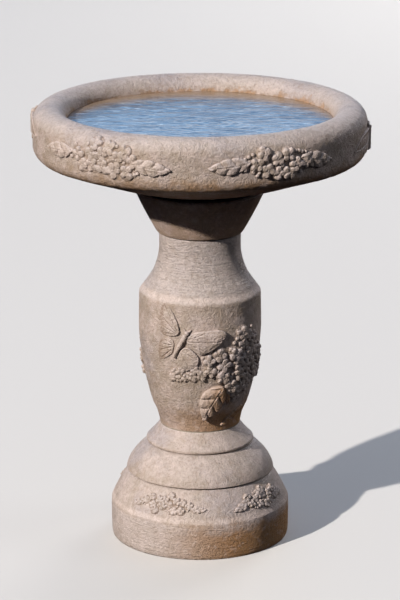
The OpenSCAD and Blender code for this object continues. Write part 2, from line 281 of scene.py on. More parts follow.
class Sheet:
    """A height field in millimetres over a flat sheet, which a relief is drawn on."""

    def __init__(self, left, right, low, high, step=0.8):
        self.x, self.y = np.meshgrid(np.arange(left, right, step), np.arange(low, high, step))
        self.h = np.full(self.x.shape, SKIRT)

    def add(self, height):
        self.h = np.maximum(self.h, height)

    def petal(self, cx, cy, radius, low, rise, spin=0.0, slim=1.0, tilt=(0.0, 0.0), power=0.5):
        """A puffed petal or bead on the level low: slim narrows it, tilt leans its face."""
        dx, dy = self.x - cx, self.y - cy
        u = (dx * math.cos(spin) + dy * math.sin(spin)) / radius
        v = (dy * math.cos(spin) - dx * math.sin(spin)) / (radius * slim)
        inside = 1 - np.abs(u) ** 2.5 - np.abs(v) ** 2.5
        face = 1 + tilt[0] * u + tilt[1] * v
        self.add(np.where(inside > 0, low + rise * face * np.clip(inside, 0, None) ** power, SKIRT))

    def floret(self, cx, cy, size, low, draw):
        """A blossom of radius size whose broad uneven petals stand around a small heart."""
        spin = draw.uniform(0, math.pi / 2)
        for k in range(4):
            a = spin + math.pi / 2 * k + draw.uniform(-0.18, 0.18)
            away = size * draw.uniform(0.48, 0.57)
            radius = size * draw.uniform(0.46, 0.58)
            tilt = (draw.uniform(-0.1, 0.45), draw.uniform(-0.4, 0.4))
            x, y = cx + away * math.cos(a), cy + away * math.sin(a)
            level, slim = low + draw.uniform(-0.4, 0.4), draw.uniform(0.74, 1.0)
            self.petal(x, y, radius, level, 0.29 * size, a, slim, tilt, 0.42)
        self.petal(cx, cy, 0.2 * size, low, 0.28 * size)

    def leaf(
        self, stem, tip, width, rise, veins, notch=0.1, widest=0.42, bend=0.0, lift=0.0, quilt=0.38
    ):
        """A leaf from stem to tip: puffed between its side veins, notched at its margin where
        they end, with a sunk midrib that swings bend to one side."""
        length = math.dist(stem, tip)
        ux, uy = (tip[0] - stem[0]) / length, (tip[1] - stem[1]) / length
        dx, dy = self.x - stem[0], self.y - stem[1]
        t = (dx * ux + dy * uy) / length
        body = np.clip(t, 1e-4, 1 - 1e-4)
        across = dy * ux - dx * uy - 4 * bend * body * (1 - body)
        side = np.abs(across)
        half = width / 2 * np.sin(np.pi * body ** (math.log(0.5) / math.log(widest))) ** 0.8
        phase = veins * (body - 0.62 * side / length) + 0.2 * np.sign(across)
        puff = np.abs(np.sin(np.pi * phase)) ** 0.5
        edge = half * (1 - notch + notch * puff)
        share = side / np.maximum(edge, 0.01)
        inside = (t > 0) & (t < 1) & (share < 1)
        crown = np.clip(1 - share**2, 0, 1) ** 0.4
        swell = np.minimum(1, share * 3)
        height = lift + rise * (0.35 + 0.65 * crown) * (1 - quilt * (1 - puff) * swell)
        height -= 0.17 * rise * np.exp(-((side / 1.1) ** 2))
        self.add(np.where(inside, height, SKIRT))

    def depth_inside(self, outline_points):
        """How far each sheet point lies inside a smooth closed outline; negative outside."""
        points = np.array(outline_points, dtype=float)
        for _ in range(3):
            after = np.roll(points, -1, 0)
            cut = [points * 0.75 + after * 0.25, points * 0.25 + after * 0.75]
            points = np.stack(cut, 1).reshape(-1, 2)
        best = np.full(self.x.shape, np.inf)
        inside = np.zeros(self.x.shape, dtype=bool)
        for (ax, ay), (bx, by) in zip(points, np.roll(points, -1, 0)):
            ex, ey = bx - ax, by - ay
            along = ((self.x - ax) * ex + (self.y - ay) * ey) / (ex * ex + ey * ey + 1e-9)
            along = np.clip(along, 0, 1)
            best = np.minimum(best, np.hypot(self.x - ax - along * ex, self.y - ay - along * ey))
            crosses = (ay > self.y) != (by > self.y)
            if crosses.any():
                meet = ax + (self.y - ay) * ex / (ey if abs(ey) > 1e-9 else 1e-9)
                inside ^= crosses & (self.x < meet)
        return np.where(inside, best, -best)

    def wing(self, outline_points, root, rise, veins, rim, cut, slope):
        """A puffed wing with a thin rim and veins of depth cut that fan out from its root. It rises
        by slope along x and y, in millimetres from one side of the outline to the other."""
        depth = self.depth_inside(outline_points)
        dx, dy = self.x - root[0], self.y - root[1]
        away = np.hypot(dx, dy)
        fan = np.arctan2(dy, dx) * veins
        vein = np.exp(-((np.sin(fan) * away / veins / 0.75) ** 2))
        cell = np.exp(-((np.sin(away / 3.4 + 1.5 * np.sin(fan)) / 0.35) ** 2)) * (depth < 9)
        height = rise * (0.45 + 0.55 * np.clip(depth / 7, 0, 1) ** 0.6)
        for way, place, points in zip(slope, (self.x, self.y), np.transpose(outline_points)):
            height += way * ((place - points.min()) / np.ptp(points) - 0.5)
        height += rim * np.exp(-(((depth - 1.2) / 0.9) ** 2))
        height -= cut * (0.8 * vein + 0.45 * cell) * np.clip((depth - 2) / 1.5, 0, 1)
        self.add(np.where(depth > 0, np.maximum(height, 0.25), SKIRT))

    def stroke(self, start, end, radius, rise):
        """A rounded bar from start to end."""
        ex, ey = end[0] - start[0], end[1] - start[1]
        along = ((self.x - start[0]) * ex + (self.y - start[1]) * ey) / (ex * ex + ey * ey)
        along = np.clip(along, 0, 1)
        away = np.hypot(self.x - start[0] - along * ex, self.y - start[1] - along * ey) / radius
        self.add(np.where(away < 1, rise * np.sqrt(np.clip(1 - away**2, 0, 1)), SKIRT))

    def weather(self, seed, depth=0.45):
        """Wears the drawn surface unevenly."""
        rows, cols = self.h.shape
        for j in range(rows):
            for i in range(cols):
                if self.h[j, i] > -1:
                    p = Vector((self.x[j, i], self.y[j, i], seed * 40.0))
                    self.h[j, i] += depth * (noise.noise(p / 3.1) + 0.6 * noise.noise(p / 1.4))

    def solid(self, name, wall, centre_deg, centre_z, reach):
        """The relief as a closed solid wrapped onto the wall, its back sunk into the casting."""
        shown = self.h > -1.6
        shown |= np.roll(shown, 1, 0) | np.roll(shown, -1, 0)
        shown |= np.roll(shown, 1, 1) | np.roll(shown, -1, 1)
        cells = shown[:-1, :-1] & shown[1:, :-1] & shown[:-1, 1:] & shown[1:, 1:]
        used = np.zeros_like(shown)
        for dj in (0, 1):
            for di in (0, 1):
                used[dj : used.shape[0] - 1 + dj, di : used.shape[1] - 1 + di] |= cells
        index = np.full(shown.shape, -1)
        count = int(used.sum())
        index[used] = np.arange(count)
        x, y, h = self.x[used], self.y[used], self.h[used]
        top = wall.wrap(x, y, h, centre_deg, centre_z, reach)
        back = wall.wrap(x, y, np.full(count, SKIRT - 1), centre_deg, centre_z, reach)
        faces = []
        for j, i in zip(*np.nonzero(cells)):
            ring = [int(index[at]) for at in ((j, i), (j, i + 1), (j + 1, i + 1), (j + 1, i))]
            faces.append(ring)
            faces.append([k + count for k in reversed(ring)])
            sides = (
                (j == 0 or not cells[j - 1, i], ring[0], ring[1]),
                (i == cells.shape[1] - 1 or not cells[j, i + 1], ring[1], ring[2]),
                (j == cells.shape[0] - 1 or not cells[j + 1, i], ring[2], ring[3]),
                (i == 0 or not cells[j, i - 1], ring[3], ring[0]),
            )
            for bare, a, b in sides:
                if bare:
                    faces.append([a, a + count, b + count, b])
        piece = mesh_object(name, np.vstack([top, back]), faces)
        level = piece.data.attributes.new("relief", "FLOAT", "POINT")
        level.data.foreach_set("value", np.concatenate([h, np.full(count, SKIRT)]))
        return piece


# ---------------------------------------------------------------- materials


class Paint:
    """Short names for building the nodes of a new material or world."""

    def __init__(self, name, kind=bpy.data.materials):
        self.owner = kind.new(name)
        self.owner.use_nodes = True
        self.tree = self.owner.node_tree
        self.shader = self.tree.nodes.get("Principled BSDF") or self.tree.nodes["Background"]

    def put(self, value, socket):
        if isinstance(value, bpy.types.NodeSocket):
            self.tree.links.new(value, socket)
        else:
            socket.default_value = value

    def place(self):
        return self.tree.nodes.new("ShaderNodeTexCoord").outputs["Object"]

    def vector(self, kind, place, other=(0, 0, 0)):
        node = self.tree.nodes.new("ShaderNodeVectorMath")
        node.operation = kind
        self.put(place, node.inputs[0])
        self.put(other, node.inputs[1])
        return node

    def stretch(self, place, scale):
        return self.vector("MULTIPLY", place, scale).outputs["Vector"]

    def off_axis(self, place, shift=(0, 0, 0)):
        """Distance in metres from the upright axis, once the place is moved by shift."""
        flat = self.stretch(place, (1, 1, 0))
        moved = self.vector("ADD", flat, shift).outputs["Vector"]
        return self.vector("LENGTH", moved).outputs["Value"]

    def noise(self, place, size, detail=3.0, rough=0.55, twist=0.0):
        """Noise from 0 to 1 with lumps of about size, in millimetres."""
        node = self.tree.nodes.new("ShaderNodeTexNoise")
        self.put(place, node.inputs["Vector"])
        node.inputs["Scale"].default_value = 1 / (size * MM)
        node.inputs["Detail"].default_value = detail
        node.inputs["Roughness"].default_value = rough
        node.inputs["Distortion"].default_value = twist
        return node.outputs["Fac"]

    def fit(self, value, low, high, to_low=0.0, to_high=1.0):
        """Takes low to high smoothly to the range from to_low to to_high."""
        node = self.tree.nodes.new("ShaderNodeMapRange")
        node.interpolation_type = "SMOOTHSTEP"
        self.put(value, node.inputs["Value"])
        ends = {"From Min": low, "From Max": high, "To Min": to_low, "To Max": to_high}
        for name, number in ends.items():
            node.inputs[name].default_value = number
        return node.outputs["Result"]

    def math(self, kind, a, b=0.0):
        node = self.tree.nodes.new("ShaderNodeMath")
        node.operation = kind
        self.put(a, node.inputs[0])
        self.put(b, node.inputs[1])
        return node.outputs[0]

    def times(self, a, b):
        return self.math("MULTIPLY", a, b)

    def mix(self, amount, a, b):
        node = self.tree.nodes.new("ShaderNodeMix")
        node.data_type = "RGBA"
        self.put(amount, node.inputs["Factor"])
        self.put(a, node.inputs["A"])
        self.put(b, node.inputs["B"])
        return node.outputs["Result"]

    def axis(self, place, letter):
        node = self.tree.nodes.new("ShaderNodeSeparateXYZ")
        self.put(place, node.inputs[0])
        return node.outputs[letter]

    def around(self, place, radius):
        """Coordinates that run round the axis at radius, and up it."""
        angle = self.math("ARCTAN2", self.axis(place, "X"), self.axis(place, "Y"))
        node = self.tree.nodes.new("ShaderNodeCombineXYZ")
        self.put(self.times(angle, radius), node.inputs["X"])
        self.put(self.axis(place, "Z"), node.inputs["Y"])
        return node.outputs[0]

    def pointiness(self):
        return self.tree.nodes.new("ShaderNodeNewGeometry").outputs["Pointiness"]

    def facing_up(self):
        normal = self.tree.nodes.new("ShaderNodeNewGeometry").outputs["Normal"]
        return self.axis(normal, "Z")

    def attribute(self, name):
        node = self.tree.nodes.new("ShaderNodeAttribute")
        node.attribute_name = name
        return node.outputs["Fac"]

    def bump(self, height, depth, below=None):
        """A bump of depth millimetres, on top of the bump below."""
        node = self.tree.nodes.new("ShaderNodeBump")
        node.inputs["Strength"].default_value = 1.0
        node.inputs["Distance"].default_value = depth * MM
        self.put(height, node.inputs["Height"])
        if below is not None:
            self.put(below, node.inputs["Normal"])
        return node.outputs["Normal"]


SAND = (0.37, 0.295, 0.24, 1)
TAN = (0.31, 0.225, 0.155, 1)
ROSE = (0.50, 0.395, 0.35, 1)
# A lilac tone of the stone, also used for the painted reflection of the sky on upward faces.
LILAC_AND_SKY_SHEEN = (0.35, 0.31, 0.335, 1)
# A pale tint for painted sheen: lighter tops and a lighter brushed band.
PAINTED_SHEEN = (0.57, 0.495, 0.475, 1)
# A dark umber for grain, and for painted shade under overhangs and in relief hollows.
UMBER_AND_SHADE = (0.20, 0.13, 0.085, 1)
# A worn pale tone, also used for painted highlights on edges and along the ridge.
WORN_AND_HIGHLIGHT = (0.66, 0.54, 0.49, 1)
OCHRE = (0.36, 0.17, 0.05, 1)
# A soil brown for pits, and for painted shade under overhangs and in crevices.
SOIL_AND_SHADE = (0.085, 0.055, 0.035, 1)
DEEP_BLUE = (0.004, 0.025, 0.06, 1)
# Pale blue for the painted reflection of the sky in the ripples.
PAINTED_SKY_STREAK = (0.10, 0.17, 0.25, 1)
# Near-white for painted glints.
PAINTED_GLINT = (0.45, 0.53, 0.60, 1)
# Brown for the shallow bottom, and for the painted reflection of the far wall.
BROWN_BOTTOM_AND_REFLECTION = (0.27, 0.19, 0.13, 1)


def stone(
    name,
    stain_below=None,
    stain_and_shade_side=(-0.09, 0.07),
    brushed=None,
    ridge=None,
    waterline=None,
    relief=False,
    sandy=1.0,
    pale=(0.0, 0.75),
):
    """Weathered cast stone, with heights in metres. Under stain_below ochre stains gather, more of
    them from one X of stain_and_shade_side to the other; this side mask also paints the browner shade
    of the side turned from the key light, as painted shade. Between the first two of brushed the
    surface was brushed to the depth of the third, in millimetres, and it is painted paler there as a
    painted sheen. At ridge its edge is worn and painted pale as a painted highlight, and inside the
    dish a brown line runs along waterline. The hollows of a relief are darker with dirt and painted
    shade, sandy scales the grit, and the two of pale paint a paler sheen of light on the walls and the
    tops."""
    paint = Paint(name)
    place = paint.place()
    height = paint.axis(place, "Z")
    right = paint.axis(place, "X")
    broad = paint.noise(place, 95, 3)
    middle = paint.noise(place, 26, 4, 0.6)
    blotch = paint.noise(place, 48, 4, 0.65, 0.6)
    fine = paint.noise(place, 4.6, 4, 0.7)
    pits = paint.noise(place, 2.4, 3, 0.6)
    speckle = paint.noise(place, 11, 3, 0.65, 0.4)
    uneven = paint.times(paint.math("SUBTRACT", middle, 0.5), 0.05)
    ragged = paint.math("ADD", height, uneven)

    colour = paint.mix(paint.fit(middle, 0.35, 0.68), SAND, ROSE)
    colour = paint.mix(paint.fit(broad, 0.48, 0.72, 0, 0.55), colour, LILAC_AND_SKY_SHEEN)
    colour = paint.mix(paint.fit(blotch, 0.5, 0.75, 0, 0.65), colour, TAN)
    up = paint.facing_up()
    # Painted light: faces turned up, and by the first of pale the walls too, are painted paler as a
    # painted sheen of the sky and the key light.
    colour = paint.mix(paint.fit(up, 0.05, 0.85, *pale), colour, PAINTED_SHEEN)
    # Painted reflection: upward faces get a lilac tint where the bluish sky would reflect.
    painted_sky_sheen = paint.times(paint.fit(broad, 0.46, 0.66), paint.fit(up, 0.2, 0.8, 0, 0.45))
    colour = paint.mix(painted_sky_sheen, colour, LILAC_AND_SKY_SHEEN)
    # Painted shade: faces turned down are painted darker under the overhangs, with some soil stain.
    colour = paint.mix(paint.fit(up, -0.9, -0.5, 0.55, 0), colour, UMBER_AND_SHADE)
    colour = paint.mix(paint.fit(up, -0.9, -0.6, 0.85, 0), colour, SOIL_AND_SHADE)
    if brushed:
        low, high, depth = brushed
        over, under = paint.fit(height, low, low + 0.01), paint.fit(height, high, high + 0.01, 1, 0)
        band = paint.times(over, under)
        # The brushed band is painted paler: a painted sheen.
        colour = paint.mix(paint.times(band, 0.6), colour, PAINTED_SHEEN)
    if stain_below is not None:
        low = paint.fit(ragged, stain_below - 0.022, stain_below + 0.014, 1, 0)
        # The stain grows towards +X, the side turned from the key light, so it also paints that side's
        # browner shade.
        side = paint.fit(right, *stain_and_shade_side, 0.08, 1)
        colour = paint.mix(paint.times(low, paint.times(side, 0.95)), colour, OCHRE)
    if waterline is not None:
        low = paint.fit(ragged, waterline - 0.002, waterline + 0.007, 1, 0)
        wet = paint.times(low, paint.fit(blotch, 0.3, 0.6, 0.3, 1))
        inside = paint.fit(paint.off_axis(place), DISH_R - 0.003, DISH_R + 0.002, 0.75, 0)
        colour = paint.mix(paint.times(wet, inside), colour, OCHRE)
    if ridge is not None:
        # Painted highlight: the ridge is painted paler where its edge turns to the light, with some
        # wear.
        off = paint.math("ABSOLUTE", paint.math("SUBTRACT", height, ridge))
        ridge_wear_and_highlight = paint.fit(off, 0.001, 0.007, 0.6, 0)
        colour = paint.mix(paint.times(ridge_wear_and_highlight, paint.fit(middle, 0.3, 0.6, 0.5, 1)), colour, WORN_AND_HIGHLIGHT)
    # Painted highlight: convex edges are painted paler, with some edge wear.
    edge = paint.fit(paint.pointiness(), 0.505, 0.56)
    colour = paint.mix(paint.times(edge, 0.55), colour, WORN_AND_HIGHLIGHT)
    # Painted shade: concave places are painted darker, with some dirt.
    crevice_dirt_and_shade = paint.fit(paint.pointiness(), 0.44, 0.498 if relief else 0.49, 1, 0)
    colour = paint.mix(paint.times(crevice_dirt_and_shade, 0.8), colour, SOIL_AND_SHADE)
    if relief:
        # Painted shade: the low parts of a relief are painted darker in its hollows, with some dirt.
        low = paint.fit(paint.attribute("relief"), 0.3, 2.2, 1, 0)
        colour = paint.mix(paint.times(low, 0.6), colour, UMBER_AND_SHADE)
    colour = paint.mix(paint.fit(speckle, 0.3, 0.55, 0.3, 0), colour, TAN)
    colour = paint.mix(paint.fit(speckle, 0.5, 0.7, 0, 0.35), colour, WORN_AND_HIGHLIGHT)
    colour = paint.mix(paint.fit(fine, 0.3, 0.6, 0.3, 0), colour, UMBER_AND_SHADE)
    colour = paint.mix(paint.fit(pits, 0.32, 0.55, 0.2, 0), colour, SOIL_AND_SHADE)
    paint.put(colour, paint.shader.inputs["Base Color"])
    paint.put(paint.fit(middle, 0.3, 0.7, 0.44, 0.68), paint.shader.inputs["Roughness"])

    surface = paint.bump(fine, 3.4 * sandy)
    surface = paint.bump(pits, 1.4 * sandy, surface)
    if brushed:
        along = paint.stretch(paint.around(place, NECK_R), (0.16, 1.0, 1.0))
        marks = paint.noise(along, 3.0, 4, 0.65, 0.6)
        surface = paint.bump(paint.times(marks, band), depth, surface)
    paint.put(surface, paint.shader.inputs["Normal"])
    return paint.owner


def flecked(name, dark, light, flecks, roughness, lumps, depth):
    """A material that mixes two colours in flecks, with bumps to depth millimetres. flecks and
    lumps each give the size and the detail of a noise."""
    paint = Paint(name)
    place = paint.place()
    colour = paint.mix(paint.noise(place, *flecks), dark, light)
    paint.put(colour, paint.shader.inputs["Base Color"])
    paint.put(roughness, paint.shader.inputs["Roughness"])
    paint.put(paint.bump(paint.noise(place, *lumps), depth), paint.shader.inputs["Normal"])
    return paint


def zinc_steel():
    dark, light = (0.42, 0.42, 0.43, 1), (0.6, 0.6, 0.62, 1)
    paint = flecked("zinc_steel", dark, light, (3, 2), 0.4, (0.8, 2), 0.05)
    spangle = paint.noise(paint.place(), 3, 2)
    paint.put(paint.fit(spangle, 0.3, 0.7, 0.3, 0.5), paint.shader.inputs["Roughness"])
    paint.shader.inputs["Metallic"].default_value = 1.0
    return paint.owner


def black_rubber():
    dark, light = (0.02, 0.02, 0.02, 1), (0.05, 0.048, 0.045, 1)
    return flecked("black_rubber", dark, light, (9, 3), 0.75, (1.2, 2), 0.1).owner


def bedding_mortar():
    dark, light = (0.20, 0.17, 0.13, 1), (0.36, 0.31, 0.25, 1)
    return flecked("bedding_mortar", dark, light, (6, 4), 0.95, (1.5, 3), 0.4).owner


def rippled_water():
    """Dark water with a painted reflection of the sky: paler streaks and a few painted glints. It goes
    brown towards the far wall, where the shallow bottom shows and the wall's reflection is painted.
    """
    paint = Paint("rippled_water")
    place = paint.place()
    streaks = paint.noise(paint.stretch(place, (0.22, 1.0, 1.0)), 13, 4, 0.6, 1.6)
    glints = paint.noise(paint.stretch(place, (0.14, 1.0, 1.0)), 5, 3, 0.6, 1.8)
    # Painted reflection: the paler blue streaks and the glints paint the sky mirrored in the ripples.
    colour = paint.mix(paint.fit(streaks, 0.42, 0.58), DEEP_BLUE, PAINTED_SKY_STREAK)
    colour = paint.mix(paint.fit(glints, 0.56, 0.63, 0, 0.75), colour, PAINTED_GLINT)
    # Brown towards the far wall: the shallow bottom showing, and a painted reflection of the far wall,
    # as the ring is shifted to the back.
    away = paint.off_axis(place, (0, 0.045, 0))
    ragged = paint.math("ADD", away, paint.times(streaks, 0.06))
    colour = paint.mix(paint.fit(ragged, 0.21, 0.265), colour, BROWN_BOTTOM_AND_REFLECTION)
    paint.put(colour, paint.shader.inputs["Base Color"])
    paint.shader.inputs["Roughness"].default_value = 0.03
    paint.shader.inputs["IOR"].default_value = 1.6
    paint.put(paint.bump(glints, 0.15, paint.bump(streaks, 0.55)), paint.shader.inputs["Normal"])
    return paint.owner


def dress(piece, material):
    piece.data.materials.clear()
    piece.data.materials.append(material)


# ---------------------------------------------------------------- castings


def casting(node, columns, fine, coarse, seen_r, depth_at, material):
    """A fine, uneven copy of a turned CAD node. Its rows are fine millimetres apart outside the
    radius seen_r and coarse millimetres inside it. Returns its smooth outline."""
    points, closed = outline(node)
    smooth = dense(softened(points, closed), closed)
    rows = thinned(smooth, closed, lambda p: (fine if p[0] > seen_r else coarse) * MM)
    piece = turned(node + "_casting", list(rows), closed, columns)
    roughen(piece, depth_at)
    dress(piece, material)
    body = next(b for b, nodes in frame["record"]["behaviour"]["bodies"].items() if node in nodes)
    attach(piece, body)
    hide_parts(node)
    return smooth


def radius_of(p):
    return math.hypot(p.x, p.y)


def between(z, low, low_fade, high, high_fade):
    """1 between the heights low and high, going to 0 at each over the length of its fade."""
    return smoothstep(low, low + low_fade, z) * smoothstep(-high, high_fade - high, -z)


def bowl_depth(p):
    if radius_of(p) < BOWL_SEAT_R:
        return 0.0
    outside = smoothstep(BOWL_R - 0.026, BOWL_R - 0.014, radius_of(p))
    wavy = 0.35 * grain(p, 60) + 0.12 * grain(p, 18, 1)
    gritty = 0.42 * grain(p, 7.5, 2) + 0.26 * grain(p, 5, 3)
    return wavy + outside * gritty + (1 - outside) * 0.2 * grain(p, 8, 4)


def column_depth(p):
    if radius_of(p) < CORE_R:
        return 0.0
    belly = smoothstep(COLUMN_HIGH - 0.08, COLUMN_HIGH - 0.105, p.z)
    wavy = 0.3 * grain(p, 50, 5) + 0.12 * grain(p, 15, 6)
    gritty = 0.36 * belly * grain(p, 6, 7)
    return between(p.z, COLUMN_LOW, 0.004, COLUMN_HIGH, 0.004) * (wavy + gritty)


def plinth_depth(p):
    if radius_of(p) < CORE_R or p.z > PLINTH_HIGH - 0.0005:
        return 0.0
    depth = 0.35 * grain(p, 55, 8) + 0.15 * grain(p, 16, 9) + 0.16 * grain(p, 6, 10)
    return between(p.z, 0.0, 0.003, PLINTH_HIGH, 0.004) * depth


def capital_depth(p):
    if radius_of(p) <= CORE_R:
        return 0.0
    depth = 0.25 * grain(p, 45, 11) + 0.12 * grain(p, 9, 12)
    return between(p.z, CAPITAL_LOW, 0.003, BOWL_LOW, 0.006) * depth


bowl_stone = stone(
    "bowl_stone",
    stain_below=BOWL_LOW + 0.066,
    stain_and_shade_side=(-0.45, 0.1),
    waterline=WATER_Z,
)
column_stone = stone(
    "column_stone",
    stain_below=COLUMN_LOW + 0.042,
    brushed=(COLUMN_HIGH - 0.088, COLUMN_HIGH, 4.0),
    ridge=COLUMN_LOW + 0.222,
    sandy=0.8,
)
plinth_stone = stone(
    "plinth_stone",
    stain_below=0.056,
    brushed=(-0.02, 0.05, 1.4),
    ridge=0.062,
    sandy=0.7,
    pale=(0.05, 0.4),
)
capital_stone = stone("capital_stone", stain_below=BOWL_LOW, stain_and_shade_side=(-0.2, 0.3), sandy=0.8)
relief_stone = stone("relief_stone", relief=True, sandy=0.7)
leaf_stone = stone(
    "leaf_stone",
    stain_below=COLUMN_LOW + 0.12,
    stain_and_shade_side=(-0.005, 0.05),
    relief=True,
    sandy=0.7,
)

bowl_points = casting("bowl", 616, 2.4, 9.0, BOWL_R - 0.065, bowl_depth, bowl_stone)
column_points = casting("column", 336, 2.0, 12.0, CORE_R, column_depth, column_stone)
plinth_points = casting("plinth", 416, 2.1, 10.0, CORE_R, plinth_depth, plinth_stone)
casting("capital", 300, 2.4, 8.0, CORE_R, capital_depth, capital_stone)

bowl_wall = Wall(bowl_points, BOWL_LOW + 0.025, BOWL_HIGH - 0.0005)
column_wall = Wall(column_points, COLUMN_LOW + 0.0005, COLUMN_HIGH - 0.0005)
plinth_wall = Wall(plinth_points, 0.002, PLINTH_HIGH - 0.002)


# ---------------------------------------------------------------- relief motifs

# BUD_R goes with a blossom of radius FULL_SIZE; both in millimetres.
BLOSSOM_GAP = 0.77
BUD_R = 2.2
FULL_SIZE = 8
BLOSSOM_TRIES = 9000
BUD_TRIES = 400


def somewhere(draw, sheet):
    return draw.uniform(sheet.x.min(), sheet.x.max()), draw.uniform(sheet.y.min(), sheet.y.max())


def scattered(seed, sheet, size_at, allowed):
    """Places of blossoms, (x, y, size), packed at random but never closer than their sizes ask."""
    draw = random.Random(seed)
    found = []
    for _ in range(BLOSSOM_TRIES):
        x, y = somewhere(draw, sheet)
        size = size_at(x)
        if allowed(x, y, size) and all(
            math.hypot(x - a, y - b) > BLOSSOM_GAP * (size + c) for a, b, c in found
        ):
            found.append((x, y, size))
    return found


def bloom(sheet, seed, size_at, allowed, low):
    """Packs blossoms on the part of a sheet that allowed(x, y, size) admits, with buds in the gaps."""
    places = scattered(seed, sheet, size_at, allowed)
    draw = random.Random(seed + 1)
    for x, y, size in places:
        sheet.petal(x, y, size * 1.2, -0.6, low + 1.1)
    for x, y, size in places:
        sheet.floret(x, y, size * draw.uniform(0.96, 1.1), low + draw.uniform(-0.5, 0.9), draw)
    for _ in range(BUD_TRIES):
        x, y = somewhere(draw, sheet)
        radius = BUD_R * size_at(x) / FULL_SIZE
        free = all(math.hypot(x - a, y - b) > 0.95 * c + 0.6 * radius for a, b, c in places)
        if free and allowed(x, y, radius):
            sheet.petal(x, y, radius, low * 0.6, radius * 0.8)
            places.append((x, y, radius))


def within(top, foot):
    """A test of whether a blossom fits between two edges that run from left to right."""

    def fits(x, y, size):
        reach = 0.6 * size
        steps = (-reach, 0, reach)
        over = min(np.interp(x + d, *np.transpose(top)) for d in steps) - y
        under = y - max(np.interp(x + d, *np.transpose(foot)) for d in steps)
        return min(over, under) > reach and top[0][0] + reach < x < top[-1][0] - reach

    return fits


def garland(seed, top, foot, leaves, width, size, low, rise, step):
    """A sheet with a patch of blossoms between its edges top and foot, and a leaf at each end."""
    ends = [p for leaf in leaves for p in leaf]
    left, right = min(p[0] for p in ends) - 3, max(p[0] for p in ends) + 3
    sheet = Sheet(left, right, -32, 32, step)
    for stem, tip in leaves:
        bend = 2 if tip[0] < stem[0] else -2
        sheet.leaf(stem, tip, width, rise, 3.5, notch=0.2, widest=0.46, bend=bend, quilt=0.6)
    bloom(sheet, seed, lambda x: size, within(top, foot), low)
    return sheet


def show(sheet, name, body, node, place, seed, material=relief_stone):
    """Turns a sheet into the piece that stands for a CAD relief node, at place as in Wall.wrap."""
    sheet.weather(seed)
    piece = sheet.solid(name, *place)
    dress(piece, material)
    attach(piece, body)
    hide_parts(node)


# Each garland in millimetres on its sheet: the top and foot edges of its patch of blossoms, the
# stem and tip of each leaf, the leaves' width and rise, and the blossoms' radius and level.
RIM_Z = BOWL_LOW + 0.0985
RIM_LONG = {
    "top": [
        (-62, 8), (-45, 17), (-22, 19), (-12, 26), (4, 26), (14, 21),
        (30, 24), (42, 17), (54, 17), (64, 9), (72, 0),
    ],
    "foot": [(-62, -7), (-50, -12), (-38, -24), (-16, -23), (6, -24), (30, -25), (58, -28), (72, -22)],
    "leaves": [((-50, 1), (-118, -4)), ((56, -4), (118, -12))],
    "width": 25, "size": 11.0, "low": 1.0, "rise": 4.8, "step": 0.8,
}
RIM_SHORT = {
    "top": [(-52, 6), (-40, 18), (-22, 18), (0, 15), (20, 15), (36, 17), (46, 11), (56, 9)],
    "foot": [(-52, -14), (-44, -22), (-30, -27), (-10, -30), (20, -29), (38, -28), (56, -16)],
    "leaves": [((-40, 0), (-105, -8)), ((42, 0), (105, -14))],
    "width": 26, "size": 10.6, "low": 1.8, "rise": 5.4, "step": 0.8,
}
PLINTH_Z = 0.087
PLINTH_REACH = 0.1265
PLINTH_LONG = {
    "top": [(-44, 7), (-30, 9), (-8, 8), (0, 16), (9, 17), (15, 8), (28, 8), (42, 5)],
    "foot": [
        (-44, -10), (-30, -12), (-22, -20), (-14, -20), (-4, -8),
        (2, -17), (14, -20), (30, -16), (42, -13),
    ],
    "leaves": [((-36, -3), (-65, -10)), ((34, -4), (64, -8))],
    "width": 13, "size": 6.2, "low": 1.0, "rise": 2.8, "step": 0.65,
}
PLINTH_SHORT = {
    "top": [(-37, 9), (-22, 8), (-10, 11), (0, 18), (7, 17), (14, 9), (38, 8)],
    "foot": [(-37, -14), (-26, -17), (-14, -20), (2, -20), (22, -17), (38, -11)],
    "leaves": [((-27, 1), (-58, -15)), ((31, -1), (56, -8))],
    "width": 15, "size": 6.2, "low": 1.4, "rise": 3.4, "step": 0.65,
}


def rim_relief():
    spots = (
        ("front_left", -35.4, RIM_LONG, 21),
        ("front_right", 25.7, RIM_SHORT, 22),
        ("back_right", 144.6, RIM_LONG, 21),
        ("back_left", 205.7, RIM_SHORT, 22),
    )
    for side, at, shape, seed in spots:
        place = (bowl_wall, at, RIM_Z, BOWL_R)
        name, node = "rim_relief_" + side, "rim_garland_" + side
        show(garland(seed, **shape), name, "basin", node, place, seed)


def plinth_relief():
    spots = (
        ("front_left", -24.0, PLINTH_LONG, 31),
        ("front_right", 49.5, PLINTH_SHORT, 32),
        ("back_right", 156.0, PLINTH_LONG, 31),
        ("back_left", 229.5, PLINTH_SHORT, 32),
    )
    for side, at, shape, seed in spots:
        place = (plinth_wall, at, PLINTH_Z, PLINTH_REACH)
        name, node = "plinth_relief_" + side, "plinth_garland_" + side
        show(garland(seed, **shape), name, "pedestal", node, place, seed)


